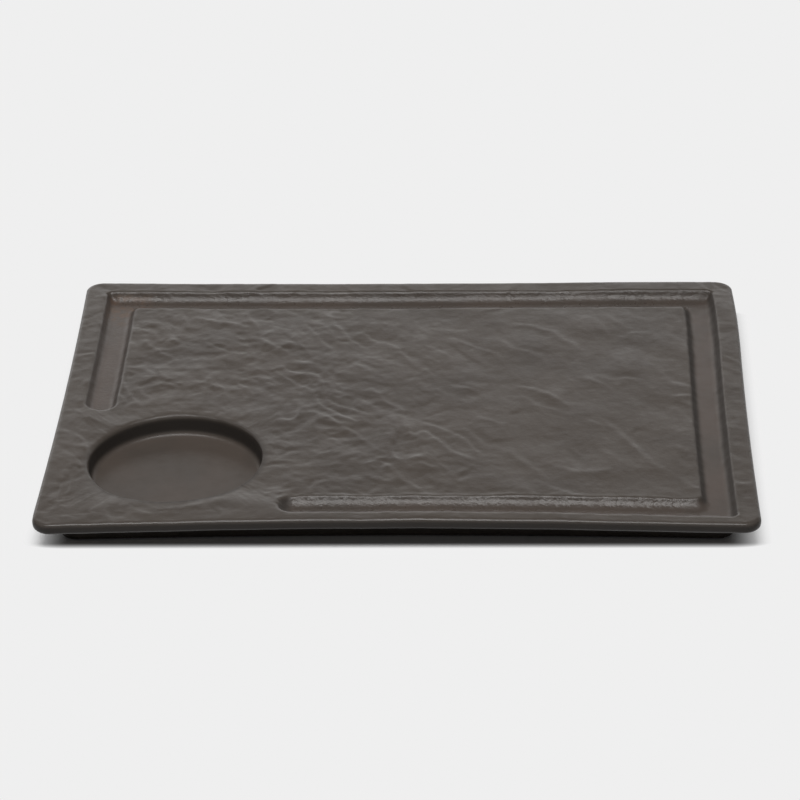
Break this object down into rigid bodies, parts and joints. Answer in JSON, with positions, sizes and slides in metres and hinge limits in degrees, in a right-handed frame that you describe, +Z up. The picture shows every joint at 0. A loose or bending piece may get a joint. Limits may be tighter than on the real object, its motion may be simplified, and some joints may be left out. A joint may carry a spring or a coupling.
{
  "type": "steak platter",
  "caption": "Rectangular slate-look ceramic serving platter with drawn-in sides, a juice groove, a round sauce well in one corner, and rubber feet in its foot ring.",
  "frame": {"origin": "on the table, under the middle of the platter", "axes": "+X along the length, +Y from the front long side (with the sauce well at its left end) to the rear, +Z up"},
  "size_m": [0.3296, 0.2282, 0.0165],
  "materials": {
    "porcelain": "matte, near-black brown, slate-textured top",
    "foot_rubber": "matte black, fine grain"
  },
  "bodies": {
    "root": {"platter_body": "porcelain", "rubber_foot_front_left": "foot_rubber", "rubber_foot_front_right": "foot_rubber", "rubber_foot_rear_left": "foot_rubber", "rubber_foot_rear_right": "foot_rubber"}
  },
  "joints": []
}
